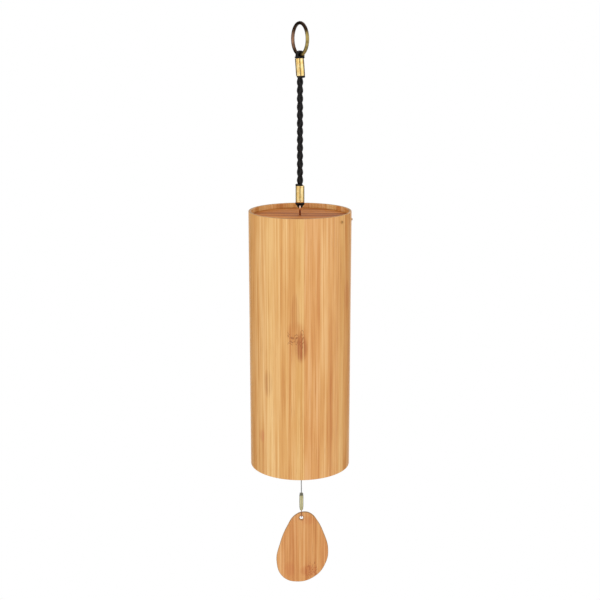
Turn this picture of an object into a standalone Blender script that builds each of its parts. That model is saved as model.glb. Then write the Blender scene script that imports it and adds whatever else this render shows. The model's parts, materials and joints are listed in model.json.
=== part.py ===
"""Wind chime: a bamboo tube on a braided cord, with eight tone rods, a clapper and a wind sail.

The origin is the hang point, the highest point inside the ring, where a hook bears. +Z is up, and the
face of the sail looks along -Y. Every length is in metres.
"""

import math

import bmesh
import bpy
from mathutils import Matrix, Vector

GAP = 0.0003  # left between neighbouring pieces

# Hanging ring. Its plane holds the Z axis, and its right-hand side comes forward.
RING_OUTER_R = 0.01025
RING_WIRE_R = 0.00105
RING_TURN = math.radians(-62)

# Braided cord, with a ferrule at each end and a loop of bare strands beyond each ferrule
FERRULE_R = 0.0027
FERRULE_BORE_R = 0.0022
FERRULE_LENGTH = 0.0102
FERRULE_LEAN = math.radians(4)
TOP_FERRULE_TOP = -0.0193
BOTTOM_FERRULE_TOP = -0.0950
CORD_R = 0.0018
STRAND_R = 0.0007
STRAND_SPREAD = 0.00095  # the legs of a loop, from the axis, inside a ferrule
FERRULE_EASE = 0.0002
LOOP_REACH = 0.0048  # of the loops and the cord, into a ferrule

# Bamboo tube and the disc in its top
TUBE_TOP = -0.1103
TUBE_LENGTH = 0.1632
TUBE_R = 0.0315
TUBE_WALL = 0.0016
DISC_DEPTH = 0.0028
DISC_THICK = 0.0040
NAIL_ANGLES = (-38, 3, 82, 150)  # degrees from +X, anticlockwise seen from above
NAIL_RISES = (0.0009, -0.0009, 0, 0)  # above the disc's middle: they were driven by hand
NAIL_HEAD_R = 0.00085
NAIL_SHANK_R = 0.0006
NAIL_LENGTH = 0.0085

# Sound plate under the disc, and the eyes and the nut that clamp it
FELT_THICK = 0.0020
FELT_R = 0.0070
PLATE_THICK = 0.0040
PLATE_R = 0.0260
EYE_R = 0.00215  # to the middle of the wire
EYE_WIRE_R = 0.00055
EYE_TOP = -0.1059
SHANK_HOLE_R = 0.0009
NUT_ACROSS_FLATS = 0.0050
NUT_LENGTH = 0.0070

# Tone rods: cantilevers soldered to the plate. Steel rods of this radius ring at PITCH_BY_LENGTH / length**2.
ROD_R = 0.0015
ROD_CIRCLE_R = 0.0180
ROD_FIRST_ANGLE = 22.5
SOUND_SPEED = 5050.0  # of steel, in m/s
PITCH_BY_LENGTH = 1.875**2 / (2 * math.pi) * ROD_R / 2 * SOUND_SPEED
LOWEST_PITCH = 196.0  # Hz
PITCH_STEPS = (0, 24, 5, 17, 9, 12, 7, 19)  # semitones above the lowest, in order round the circle
SOLDER_R = 0.0028
SOLDER_HEIGHT = 0.0014

# Clapper, hung in the middle of the rods
THREAD_R = 0.00035
THREAD_HOLE_R = 0.00075
KNOT_R = 0.0011
CLAPPER_LOOP_LENGTH = 0.0052
CLAPPER_R = 0.0110
CLAPPER_THICK = 0.0050
CLAPPER_DROP = 0.0420  # of its middle, below the plate

# Wind sail and what it hangs on
CRIMP_TOP = -0.2954
CRIMP_LENGTH = 0.0119
CRIMP_R = 0.0013
CRIMP_TIP_R = 0.0008
CRIMP_CAP = 0.0013
SAIL_X = 0.0009  # the thread hangs a little to the right
SAIL_HOLE_Z = -0.3125
SAIL_HOLE_R = 0.00115
SAIL_THICK = 0.0014
SAIL_LOOP_R = 0.00025
# The sail's outline, as x and z from its hole: lopsided, like a pebble
SAIL_OUTLINE = (
    (1.6, 4.2), (6.2, 3.0), (10.4, -1.9), (14.6, -10.6), (17.6, -22.3), (15.9, -32.4),
    (8.8, -41.8), (-2.8, -45.6), (-12.1, -42.2), (-16.3, -31.5), (-14.0, -18.0), (-9.5, -6.2), (-4.2, 1.9),
)  # fmt: skip

# Heights that follow from the sizes above
RING_CENTRE = 2 * RING_WIRE_R - RING_OUTER_R
RING_LOW = RING_CENTRE - (RING_OUTER_R - RING_WIRE_R)
BOTTOM_FERRULE_END = BOTTOM_FERRULE_TOP - FERRULE_LENGTH
DISC_TOP = TUBE_TOP - DISC_DEPTH
DISC_END = DISC_TOP - DISC_THICK
FELT_TOP = DISC_END - GAP
PLATE_TOP = FELT_TOP - FELT_THICK - GAP
PLATE_END = PLATE_TOP - PLATE_THICK
NUT_TOP = PLATE_END - GAP
NUT_END = NUT_TOP - NUT_LENGTH
NUT_MIDDLE = (NUT_TOP + NUT_END) / 2
EYE_CENTRE = EYE_TOP - EYE_WIRE_R - EYE_R
LOWER_EYE_CENTRE = NUT_END - 0.0006 - EYE_WIRE_R - EYE_R
BOTTOM_LOOP_LOW = EYE_CENTRE + EYE_R - EYE_WIRE_R - GAP - STRAND_R
LOWER_EYE_LOW = LOWER_EYE_CENTRE - EYE_R
CLAPPER_LOOP_HIGH = LOWER_EYE_LOW + EYE_WIRE_R + GAP + THREAD_R
KNOT_CENTRE = CLAPPER_LOOP_HIGH - CLAPPER_LOOP_LENGTH - KNOT_R
CLAPPER_CENTRE = PLATE_END - CLAPPER_DROP
UPPER_BEAD_CENTRE = CLAPPER_CENTRE + CLAPPER_THICK / 2 + GAP + KNOT_R
LOWER_BEAD_CENTRE = CLAPPER_CENTRE - CLAPPER_THICK / 2 - GAP - KNOT_R
CLAPPER_THREAD_END = LOWER_BEAD_CENTRE - KNOT_R - 0.0008
CRIMP_END = CRIMP_TOP - CRIMP_LENGTH

BAMBOO = ((0.73, 0.45, 0.20), 0.45, 0.0)
BAMBOO_PLY = ((0.44, 0.20, 0.07), 0.5, 0.0)
SAIL_WOOD = ((0.64, 0.33, 0.12), 0.45, 0.0)
BRONZE = ((0.20, 0.12, 0.06), 0.3, 1.0)
BRASS = ((0.78, 0.55, 0.22), 0.25, 1.0)
OLIVE_BRASS = ((0.42, 0.38, 0.20), 0.4, 1.0)
STEEL = ((0.55, 0.55, 0.56), 0.3, 1.0)
SOLDER = ((0.72, 0.72, 0.70), 0.4, 1.0)
BLACK_CORD = ((0.02, 0.02, 0.02), 0.8, 0.0)
GREY_THREAD = ((0.25, 0.26, 0.25), 0.7, 0.0)
BROWN_THREAD = ((0.25, 0.11, 0.05), 0.7, 0.0)
FELT = ((0.12, 0.10, 0.09), 0.95, 0.0)
TURNED_WOOD = ((0.35, 0.18, 0.08), 0.5, 0.0)


def start_scene():
    """Empty the scene, and give it a collection for the parts and one for the cutters."""
    for obj in list(bpy.data.objects):
        bpy.data.objects.remove(obj, do_unlink=True)
    made = []
    for name in ("wind_chime", "cutters"):
        collection = bpy.data.collections.new(name)
        bpy.context.scene.collection.children.link(collection)
        made.append(collection)
    return made


PARTS, CUTTERS = start_scene()


def material(look):
    """The material of one of the looks above."""
    colour, roughness, metallic = look
    name = f"look_{colour[0]:.2f}_{colour[1]:.2f}_{roughness:.2f}_{metallic:.0f}"
    if name in bpy.data.materials:
        return bpy.data.materials[name]
    made = bpy.data.materials.new(name)
    made.use_nodes = True
    shader = made.node_tree.nodes["Principled BSDF"]
    shader.inputs["Base Color"].default_value = (*colour, 1.0)
    shader.inputs["Roughness"].default_value = roughness
    shader.inputs["Metallic"].default_value = metallic
    return made


def add(name, data, look=None, location=(0, 0, 0), parent=None):
    """Make an object, in the cutters' collection if it has no look."""
    obj = bpy.data.objects.new(name, data)
    obj.location = location
    if look is None:
        obj.hide_render = True
        obj.display_type = "WIRE"
        CUTTERS.objects.link(obj)
        return obj
    data.materials.append(material(look))
    PARTS.objects.link(obj)
    if parent is not None:
        attach(obj, parent)
    return obj


def attach(obj, parent):
    """Parent an object and leave it where it is."""
    bpy.context.view_layer.update()
    obj.parent = parent
    obj.matrix_parent_inverse = parent.matrix_world.inverted()


def pivot(name, location, parent=None):
    """An empty on a joint's axis."""
    empty = bpy.data.objects.new(name, None)
    empty.location = location
    empty.empty_display_size = 0.004
    PARTS.objects.link(empty)
    if parent is not None:
        attach(empty, parent)
    return empty


def turned(name, profile, look=None, location=(0, 0, 0), parent=None, closed=False, sides=24):
    """A turned piece. The profile is (radius, height) down its outer side; a closed one has a bore."""
    mesh = bpy.data.meshes.new(name)
    edges = [(i, i + 1) for i in range(len(profile) - 1)]
    if closed:
        edges.append((len(profile) - 1, 0))
    mesh.from_pydata([(radius, 0, height) for radius, height in profile], edges, [])
    obj = add(name, mesh, look, location, parent)
    screw = obj.modifiers.new("turn", "SCREW")
    screw.steps = screw.render_steps = sides
    screw.use_merge_vertices = True
    screw.merge_threshold = 1e-6
    screw.use_smooth_shade = True
    return obj


def tube_profile(outer, inner, top, bottom):
    """The closed profile of a tube or a washer."""
    return ((outer, top), (outer, bottom), (inner, bottom), (inner, top))


def rod_profile(radius, top, bottom):
    return ((0, top), (radius, top), (radius, bottom), (0, bottom))


def ball_profile(radius, hole=0.0, points=7):
    """A ball's half outline from top to bottom, or that of a bead with a hole through it."""
    start = math.asin(hole / radius)
    angles = [start + (math.pi - 2 * start) * i / (points - 1) for i in range(points)]
    return [(radius * math.sin(a) if 0 < i < points - 1 or hole else 0.0, radius * math.cos(a))
            for i, a in enumerate(angles)]  # fmt: skip


def smooth_route(route, per_stretch=4):
    """Points along a smooth curve through the route's own points."""
    ends = [2 * route[0] - route[1], *route, 2 * route[-1] - route[-2]]
    points = []
    for a, b, c, d in zip(ends, ends[1:], ends[2:], ends[3:]):
        for i in range(per_stretch):
            t = i / per_stretch
            points.append(0.5 * (2 * b + (c - a) * t + (2 * a - 5 * b + 4 * c - d) * t**2
                                 + (3 * b - a - 3 * c + d) * t**3))  # fmt: skip
    return [*points, route[-1]]


def strand(name, points, radius, look, parent, location=(0, 0, 0)):
    """A round cord, thread or wire along points that are given from its location."""
    curve = bpy.data.curves.new(name, "CURVE")
    curve.dimensions = "3D"
    curve.bevel_depth = radius
    curve.bevel_resolution = 2
    curve.use_fill_caps = True
    spline = curve.splines.new("POLY")
    spline.points.add(len(points) - 1)
    for point, place in zip(spline.points, points):
        point.co = (*place, 1.0)
    return add(name, curve, look, location, parent)


def ring_mesh(name, major, minor, turn, major_sides, minor_sides):
    """A torus whose plane is upright, turned about Z from the XZ plane."""
    bpy.ops.mesh.primitive_torus_add(
        major_segments=major_sides, minor_segments=minor_sides, major_radius=major, minor_radius=minor
    )
    torus = bpy.context.object
    mesh = torus.data
    mesh.name = name
    bpy.data.objects.remove(torus)
    mesh.transform(Matrix.Rotation(turn, 4, "Z") @ Matrix.Rotation(math.radians(90), 4, "X"))
    mesh.shade_smooth()
    return mesh


def boolean(obj, operation, cutter):
    made = obj.modifiers.new(operation.lower(), "BOOLEAN")
    made.operation = operation
    made.object = cutter
    return made


def loop_route(side, turn_z, legs, mouth_z, leg_end, flip=1):
    """A loop of cord round a wire, from a mouth that holds its legs; flip=-1 hangs it below the mouth."""
    half = [
        Vector((-legs, 0, leg_end)),
        Vector((-legs, 0, (leg_end + mouth_z) / 2)),
        Vector((-legs, 0, mouth_z - flip * 0.0003)),
        Vector((-side * 1.03, 0, turn_z - flip * side * 1.05)),
        Vector((-side * 0.78, 0, turn_z - flip * side * 0.33)),
    ]
    other = [Vector((-point.x, 0, point.z)) for point in reversed(half)]
    return smooth_route([*half, Vector((0, 0, turn_z)), *other])


def eye(name, centre, shank_end, parent):
    """A wire eye, its ring in the YZ plane, with a straight threaded shank."""
    mesh = ring_mesh(name, EYE_R, EYE_WIRE_R, math.radians(90), 24, 8)
    ring = add(name, mesh, BRASS, (0, 0, centre), parent)
    low, high = sorted((shank_end - centre, math.copysign(EYE_R, shank_end - centre)))
    shank = turned(f"{name}_shank", rod_profile(EYE_WIRE_R, high, low), location=(0, 0, centre), sides=12)
    boolean(ring, "UNION", shank)
    return ring


def make_hanger():
    """The ring, and the cord's upper loop and ferrule."""
    ring = ring_mesh("hanging_ring", RING_OUTER_R - RING_WIRE_R, RING_WIRE_R, RING_TURN, 40, 8)
    add("hanging_ring", ring, BRONZE, (0, 0, RING_CENTRE))

    swing = pivot("ring_swing", (0, 0, RING_LOW))
    across = Matrix.Rotation(RING_TURN + math.radians(90), 3, "Z")
    crest = RING_WIRE_R + GAP + STRAND_R
    mouth = TOP_FERRULE_TOP - RING_LOW
    route = loop_route(crest, crest, STRAND_SPREAD, mouth, mouth - LOOP_REACH + GAP)
    strand("top_loop", [across @ point for point in route], STRAND_R, BLACK_CORD, swing, (0, 0, RING_LOW))
    sleeve = ferrule("top_ferrule", TOP_FERRULE_TOP, swing)
    sleeve.rotation_euler = (0, -FERRULE_LEAN, 0)
    top, bottom = TOP_FERRULE_TOP - LOOP_REACH - RING_LOW, BOTTOM_FERRULE_TOP - LOOP_REACH - RING_LOW
    points = [Vector((0, 0, top + (bottom - top) * i / 12)) for i in range(13)]
    strand("hanger_cord", points, CORD_R, BLACK_CORD, swing, (0, 0, RING_LOW))
    return swing


def ferrule(name, top, parent):
    """A brass sleeve, swaged on the strands, with its rims eased."""
    half, ease = FERRULE_LENGTH / 2, FERRULE_EASE
    profile = (
        (FERRULE_R - ease / 2, half), (FERRULE_R, half - ease), (FERRULE_R, ease - half),
        (FERRULE_R - ease / 2, -half), (FERRULE_BORE_R + ease, -half), (FERRULE_BORE_R, 4 * ease - half),
        (FERRULE_BORE_R, half - 4 * ease), (FERRULE_BORE_R + ease, half),
    )  # fmt: skip
    return turned(name, profile, BRASS, (0, 0, top - half), parent, closed=True)


def make_cord_end(parent):
    """The lower ferrule and loop, which twist with the cord."""
    twist = pivot("cord_twist", (0, 0, BOTTOM_FERRULE_TOP), parent)
    ferrule("bottom_ferrule", BOTTOM_FERRULE_TOP, twist)
    leg_end = BOTTOM_FERRULE_TOP - LOOP_REACH - GAP - BOTTOM_FERRULE_END
    side = EYE_WIRE_R + GAP + STRAND_R
    route = loop_route(side, BOTTOM_LOOP_LOW - BOTTOM_FERRULE_END, STRAND_SPREAD, 0, leg_end, flip=-1)
    strand("bottom_loop", route, STRAND_R, BLACK_CORD, twist, (0, 0, BOTTOM_FERRULE_END))
    return twist


def make_body(parent):
    """The tube, the disc nailed into its top, and all that is fixed to the disc."""
    swing = pivot("eye_swing", (0, 0, BOTTOM_LOOP_LOW), parent)
    inner = TUBE_R - TUBE_WALL
    tube = turned("tube", tube_profile(TUBE_R, inner, 0, -TUBE_LENGTH), BAMBOO, (0, 0, TUBE_TOP), swing,
                  closed=True, sides=72)  # fmt: skip
    disc = turned("top_disc", tube_profile(inner - GAP, SHANK_HOLE_R, 0, -DISC_THICK), BAMBOO_PLY,
                  (0, 0, DISC_TOP), swing, closed=True, sides=72)  # fmt: skip
    for number, (degrees, rise) in enumerate(zip(NAIL_ANGLES, NAIL_RISES), 1):
        hole = nail(number, math.radians(degrees), rise, swing)
        boolean(tube, "DIFFERENCE", hole)
        boolean(disc, "DIFFERENCE", hole)

    turned("felt_washer", tube_profile(FELT_R, SHANK_HOLE_R, 0, -FELT_THICK), FELT, (0, 0, FELT_TOP), swing,
           closed=True, sides=32)  # fmt: skip
    turned("sound_plate", tube_profile(PLATE_R, SHANK_HOLE_R, 0, -PLATE_THICK), STEEL, (0, 0, PLATE_TOP), swing,
           closed=True, sides=64)  # fmt: skip
    eye("top_eye", EYE_CENTRE, NUT_MIDDLE + GAP, swing)
    eye("lower_eye", LOWER_EYE_CENTRE, NUT_MIDDLE - GAP, swing)
    make_nut(swing)
    for number in range(len(PITCH_STEPS)):
        make_rod(number, swing)
    return swing


def nail(number, angle, rise, parent):
    """A round-headed nail through the tube's wall into the disc. Returns the cutter of its hole."""
    head = [(NAIL_HEAD_R * math.sin(a), NAIL_HEAD_R * 0.55 * math.cos(a)) for a in (0, 0.45, 0.9, 1.35)]
    profile = [*head, (NAIL_HEAD_R, 0), (NAIL_SHANK_R, 0), (NAIL_SHANK_R, 0.001 - NAIL_LENGTH), (0, -NAIL_LENGTH)]
    place = Vector((math.cos(angle), math.sin(angle), 0)) * (TUBE_R + GAP)
    place.z = DISC_TOP - DISC_THICK / 2 + rise
    aim = Matrix.Rotation(angle, 4, "Z") @ Matrix.Rotation(math.radians(90), 4, "Y")
    made = turned(f"disc_nail_{number}", profile, BRASS, parent=parent, sides=12)
    hole = turned(f"nail_hole_{number}", rod_profile(NAIL_SHANK_R + GAP, 0.003, -NAIL_LENGTH - GAP), sides=12)
    for obj in (made, hole):
        obj.matrix_world = Matrix.Translation(place) @ aim
    return hole


def make_nut(parent):
    """The long hexagonal nut that joins the shanks of the two eyes."""
    mesh = bpy.data.meshes.new("coupling_nut")
    shape = bmesh.new()
    corner_r = NUT_ACROSS_FLATS / math.sqrt(3)
    bmesh.ops.create_cone(shape, cap_ends=True, segments=6, radius1=corner_r, radius2=corner_r, depth=NUT_LENGTH)
    shape.to_mesh(mesh)
    shape.free()
    nut = add("coupling_nut", mesh, BRASS, (0, 0, NUT_MIDDLE), parent)
    bore = turned("nut_bore", rod_profile(SHANK_HOLE_R, NUT_LENGTH, -NUT_LENGTH), location=(0, 0, NUT_MIDDLE),
                  sides=16)  # fmt: skip
    boolean(nut, "DIFFERENCE", bore)


def make_rod(number, parent):
    """One tone rod, cut to its pitch, and the ring of solder round its top."""
    pitch = LOWEST_PITCH * 2 ** (PITCH_STEPS[number] / 12)
    length = math.sqrt(PITCH_BY_LENGTH / pitch)
    angle = math.radians(ROD_FIRST_ANGLE + 360 * number / len(PITCH_STEPS))
    place = (ROD_CIRCLE_R * math.cos(angle), ROD_CIRCLE_R * math.sin(angle), PLATE_END - GAP)
    turned(f"tone_rod_{number + 1}", rod_profile(ROD_R, 0, -length), STEEL, place, parent, sides=16)
    inner = ROD_R + GAP
    fillet = ((SOLDER_R, 0), (inner + 0.0004, -SOLDER_HEIGHT), (inner, -SOLDER_HEIGHT), (inner, 0))
    turned(f"solder_{number + 1}", fillet, SOLDER, place, parent, closed=True, sides=16)


def make_clapper(parent):
    """The thread loop on the lower eye, and the clapper below it. Returns the clapper's pivot."""
    rock = pivot("clapper_rock", (0, 0, LOWER_EYE_LOW), parent)
    side = EYE_WIRE_R + GAP + THREAD_R
    foot = GAP - CLAPPER_LOOP_LENGTH
    route = loop_route(side * 1.4, 0, THREAD_R + 0.0001, foot * 0.7, foot)
    strand("clapper_loop", route, THREAD_R, GREY_THREAD, rock, (0, 0, CLAPPER_LOOP_HIGH))
    turned("loop_knot", ball_profile(KNOT_R), GREY_THREAD, (0, 0, KNOT_CENTRE), rock, sides=12)

    swing = pivot("clapper_swing", (0, 0, KNOT_CENTRE), rock)
    points = [Vector((0, 0, -KNOT_R - GAP)), Vector((0, 0, CLAPPER_THREAD_END - KNOT_CENTRE))]
    strand("clapper_thread", points, THREAD_R, GREY_THREAD, swing, (0, 0, KNOT_CENTRE))
    bead = ball_profile(KNOT_R, THREAD_HOLE_R)
    for name, height in (("upper_bead", UPPER_BEAD_CENTRE), ("lower_bead", LOWER_BEAD_CENTRE)):
        turned(name, bead, BRASS, (0, 0, height), swing, closed=True, sides=12)
    half, ease = CLAPPER_THICK / 2, 0.0012
    profile = (
        (CLAPPER_R - ease, half), (CLAPPER_R - ease * 0.3, half - ease * 0.3), (CLAPPER_R, half - ease),
        (CLAPPER_R, ease - half), (CLAPPER_R - ease * 0.3, ease * 0.3 - half), (CLAPPER_R - ease, -half),
        (THREAD_HOLE_R, -half), (THREAD_HOLE_R, half),
    )  # fmt: skip
    turned("clapper", profile, TURNED_WOOD, (0, 0, CLAPPER_CENTRE), swing, closed=True, sides=32)
    return swing


def make_sail(parent):
    """The thread that leaves the tube, its crimp and loop, and the sail."""
    swing = pivot("thread_swing", (0, 0, CLAPPER_THREAD_END), parent)
    foot = Vector((SAIL_X, 0, CRIMP_TOP + GAP - CLAPPER_THREAD_END))
    points = [Vector((0, 0, -GAP)), foot / 3, foot * 2 / 3, foot]
    strand("sail_thread", points, THREAD_R, GREY_THREAD, swing, (0, 0, CLAPPER_THREAD_END))

    turn = pivot("sail_turn", (SAIL_X, 0, CRIMP_TOP), swing)
    taper = [(CRIMP_TIP_R + (CRIMP_R - CRIMP_TIP_R) * math.cos(a), -CRIMP_LENGTH * (0.74 + 0.26 * math.sin(a)))
             for a in (math.radians(step) for step in (0, 25, 50, 70, 90))]  # fmt: skip
    profile = ((0, 0), (CRIMP_R * 0.85, 0), (CRIMP_R * 0.95, -CRIMP_CAP), (CRIMP_R, -CRIMP_CAP - 0.0002), *taper,
               (0, -CRIMP_LENGTH))  # fmt: skip
    turned("sail_crimp", profile, OLIVE_BRASS, (SAIL_X, 0, CRIMP_TOP), turn, sides=20)
    hole = SAIL_HOLE_Z - CRIMP_END
    clear = SAIL_THICK / 2 + SAIL_LOOP_R + GAP / 2
    low = hole + SAIL_HOLE_R - GAP - SAIL_LOOP_R
    half = [
        Vector((0, -CRIMP_TIP_R / 2, -GAP)),
        Vector((0, -clear, hole + SAIL_OUTLINE[0][1] / 1000 + GAP)),
        Vector((0, -clear - GAP / 2, hole / 2)),
        Vector((0, -clear, low + 0.0004)),
        Vector((0, -clear * 0.6, low + 0.00005)),
    ]
    other = [Vector((0, -point.y, point.z)) for point in reversed(half)]
    route = smooth_route([*half, Vector((0, 0, low)), *other], 3)
    strand("sail_loop", route, SAIL_LOOP_R, BROWN_THREAD, turn, (SAIL_X, 0, CRIMP_END))

    rock = pivot("sail_rock", (SAIL_X, 0, SAIL_HOLE_Z), turn)
    sail = add("wind_sail", sail_mesh(), SAIL_WOOD, (SAIL_X, 0, SAIL_HOLE_Z), rock)
    drill = turned("sail_drill", rod_profile(SAIL_HOLE_R, 0.004, -0.004), location=(SAIL_X, 0, SAIL_HOLE_Z),
                   sides=20)  # fmt: skip
    drill.rotation_euler = (math.radians(90), 0, 0)
    boolean(sail, "DIFFERENCE", drill)


def sail_mesh():
    """The flat sail, from its outline, standing in the XZ plane with its hole at the origin."""
    curve = bpy.data.curves.new("sail_outline", "CURVE")
    curve.dimensions = "2D"
    curve.fill_mode = "BOTH"
    curve.extrude = SAIL_THICK / 2
    curve.resolution_u = 6
    spline = curve.splines.new("BEZIER")
    spline.bezier_points.add(len(SAIL_OUTLINE) - 1)
    spline.use_cyclic_u = True
    for point, (x, z) in zip(spline.bezier_points, SAIL_OUTLINE):
        point.co = (x / 1000, z / 1000, 0)
        point.handle_left_type = point.handle_right_type = "AUTO"
    outline = add("sail_outline", curve)
    bpy.context.view_layer.update()
    mesh = bpy.data.meshes.new_from_object(outline.evaluated_get(bpy.context.evaluated_depsgraph_get()))
    bpy.data.objects.remove(outline)
    shape = bmesh.new()
    shape.from_mesh(mesh)
    bmesh.ops.remove_doubles(shape, verts=shape.verts, dist=1e-6)
    bmesh.ops.rotate(shape, verts=shape.verts, matrix=Matrix.Rotation(math.radians(90), 3, "X"))
    bmesh.ops.recalc_face_normals(shape, faces=shape.faces)
    shape.to_mesh(mesh)
    shape.free()
    return mesh


ring_swing = make_hanger()
cord_twist = make_cord_end(ring_swing)
eye_swing = make_body(cord_twist)
clapper_swing = make_clapper(eye_swing)
make_sail(clapper_swing)
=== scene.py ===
"""The looks of the wind chime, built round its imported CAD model.

Every length is in metres and every angle is in degrees. A colour is written as it shows on screen.
"""

import json
import math
import random

import bmesh
import bpy
from mathutils import Matrix, Vector


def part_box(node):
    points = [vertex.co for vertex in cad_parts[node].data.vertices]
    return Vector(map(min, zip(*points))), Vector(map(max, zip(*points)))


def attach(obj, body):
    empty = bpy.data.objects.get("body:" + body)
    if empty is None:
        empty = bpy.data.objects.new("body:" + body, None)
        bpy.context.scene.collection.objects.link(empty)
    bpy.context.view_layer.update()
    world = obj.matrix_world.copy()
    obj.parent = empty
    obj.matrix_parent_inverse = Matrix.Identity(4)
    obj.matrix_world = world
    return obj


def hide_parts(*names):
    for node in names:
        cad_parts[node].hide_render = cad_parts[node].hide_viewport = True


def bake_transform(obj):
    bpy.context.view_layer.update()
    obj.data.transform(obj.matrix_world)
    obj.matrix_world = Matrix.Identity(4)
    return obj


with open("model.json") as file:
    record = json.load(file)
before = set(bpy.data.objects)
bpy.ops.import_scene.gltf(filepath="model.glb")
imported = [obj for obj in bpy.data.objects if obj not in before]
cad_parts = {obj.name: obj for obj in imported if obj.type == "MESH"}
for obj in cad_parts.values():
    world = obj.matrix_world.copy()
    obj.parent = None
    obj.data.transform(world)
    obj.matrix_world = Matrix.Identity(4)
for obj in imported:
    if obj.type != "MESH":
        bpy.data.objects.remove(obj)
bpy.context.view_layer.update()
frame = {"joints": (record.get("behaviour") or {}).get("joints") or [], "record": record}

UP = Vector((0, 0, 1))
GAP = 0.0003  # that the CAD model leaves between neighbours


# ------------------------------------------------------------------ places, read from the frame


def top(node):
    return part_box(node)[1].z


def low(node):
    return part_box(node)[0].z


def centre(node):
    lowest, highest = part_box(node)
    return (lowest + highest) / 2


def half_width(node):
    """Half of a turned node's width along Y."""
    lowest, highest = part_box(node)
    return (highest.y - lowest.y) / 2


def body_of(node):
    return next(name for name, nodes in frame["record"]["behaviour"]["bodies"].items() if node in nodes)


# ------------------------------------------------------------------ camera, lights and backdrop

CAMERA_PLACE = (0.0, -0.69198, 0.0020)
CAMERA_DOWN = 13.688
CAMERA_LENS = 68.708
WORLD_LIGHT = 0.93
COVE_R = 2.6
COVE_FLOOR = -0.80
COVE_HIGH = 7.0
COVE_BEND = 0.5
PANEL_DISTANCE = 1.9
PANEL_REACH = 2.0  # above and below the hang point
PANEL_STEP = 6  # degrees
LIGHT_SIZE = (0.9, 1.3)
LIGHT_AIM = (0, 0, -0.19)


def make_camera():
    data = bpy.data.cameras.new("camera")
    data.sensor_width = 36.0
    data.lens = CAMERA_LENS
    camera = bpy.data.objects.new("camera", data)
    camera.location = CAMERA_PLACE
    camera.rotation_euler = (math.radians(90 - CAMERA_DOWN), 0, 0)
    bpy.context.scene.collection.objects.link(camera)
    bpy.context.scene.camera = camera


def glow(name, shade, strength):
    """An even glowing material, for the backdrop and the panels that only metal and lacquer reflect."""
    made = bpy.data.materials.new(name)
    made.use_nodes = True
    nodes, links = made.node_tree.nodes, made.node_tree.links
    nodes.clear()
    emission, output = nodes.new("ShaderNodeEmission"), nodes.new("ShaderNodeOutputMaterial")
    emission.inputs["Color"].default_value = colour(shade)
    emission.inputs["Strength"].default_value = strength
    links.new(emission.outputs["Emission"], output.inputs["Surface"])
    return made


def make_cove():
    """A pale floor that curves up into a round wall. It gives no light of its own to the chime."""
    bend = [(COVE_R - COVE_BEND * (1 - math.sin(a)), COVE_FLOOR + COVE_BEND * (1 - math.cos(a)))
            for a in (math.radians(step) for step in range(90, -1, -10))]  # fmt: skip
    profile = [(COVE_R, COVE_HIGH), *bend, (0, COVE_FLOOR)]
    cove = bpy.data.objects.new("cove", lathe(profile, 96))
    cove.data.materials.append(glow("cove_paper", "#FFFFFF", 1.0))
    see_only(cove, "camera")
    bpy.context.scene.collection.objects.link(cove)


def see_only(obj, *rays):
    """Only these kinds of ray meet the object."""
    for ray in ("camera", "diffuse", "glossy", "transmission", "shadow", "volume_scatter"):
        setattr(obj, f"visible_{ray}", ray in rays)


def make_panel(name, azimuth, width, strength):
    """A tall curved panel round the chime, which darkens its reflections on that side."""
    steps = max(2, round(width / PANEL_STEP))
    shape = bmesh.new()
    columns = []
    for step in range(steps + 1):
        angle = math.radians(azimuth + width * (step / steps - 0.5))
        place = Vector((math.cos(angle), math.sin(angle), 0)) * PANEL_DISTANCE
        columns.append([shape.verts.new(place + UP * height) for height in (-PANEL_REACH, PANEL_REACH)])
    for a, b in zip(columns, columns[1:]):
        shape.faces.new((a[0], b[0], b[1], a[1]))
    panel = bpy.data.objects.new(name, finish_mesh(name, shape, recalculate=False))
    panel.data.materials.append(glow(name, "#FFFFFF", strength))
    see_only(panel, "glossy")
    bpy.context.scene.collection.objects.link(panel)


def make_light(name, place, power, tint="#FFFFFF"):
    data = bpy.data.lights.new(name, "AREA")
    data.shape = "RECTANGLE"
    data.size, data.size_y = LIGHT_SIZE
    data.energy = power
    data.color = colour(tint)[:3]
    light = bpy.data.objects.new(name, data)
    light.location = place
    light.rotation_euler = (Vector(LIGHT_AIM) - Vector(place)).to_track_quat("-Z", "Y").to_euler()
    bpy.context.scene.collection.objects.link(light)


def make_studio():
    world = bpy.data.worlds.new("studio")
    world.use_nodes = True
    background = world.node_tree.nodes["Background"]
    background.inputs["Color"].default_value = (1, 1, 1, 1)
    background.inputs["Strength"].default_value = WORLD_LIGHT
    bpy.context.scene.world = world
    bpy.context.scene.view_settings.view_transform = "Standard"
    make_cove()
    make_light("key", (-0.7, -1.5, 0.5), 3.8, "#FFFBF2")
    make_light("fill", (1.3, -1.0, 0.3), 2.2)
    make_light("back", (0.5, 1.4, 0.6), 4.0)
    make_panel("front_panel", -90, 26, 0.30)
    make_panel("back_left_panel", 143, 52, 0.05)
    make_panel("back_right_panel", 37, 52, 0.05)


# ------------------------------------------------------------------ meshes

ON_AXIS = 1e-7  # a smaller radius is one point
EASE_STEPS = 4
THREAD_R = 0.00035
THREAD_STRANDS = 3
THREAD_STRAND_R = THREAD_R * 0.52
THREAD_PITCH = 0.0028
THREAD_STEP = 0.00028  # along the thread, between the rings of its mesh


def steps_round(count):
    """The angles of even steps round a circle."""
    return [2 * math.pi * i / count for i in range(count)]


def colour(code):
    """A screen colour as the linear one that shaders take."""
    parts = (int(code[i : i + 2], 16) / 255 for i in (1, 3, 5))
    return (*(p / 12.92 if p <= 0.04045 else ((p + 0.055) / 1.055) ** 2.4 for p in parts), 1.0)


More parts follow.
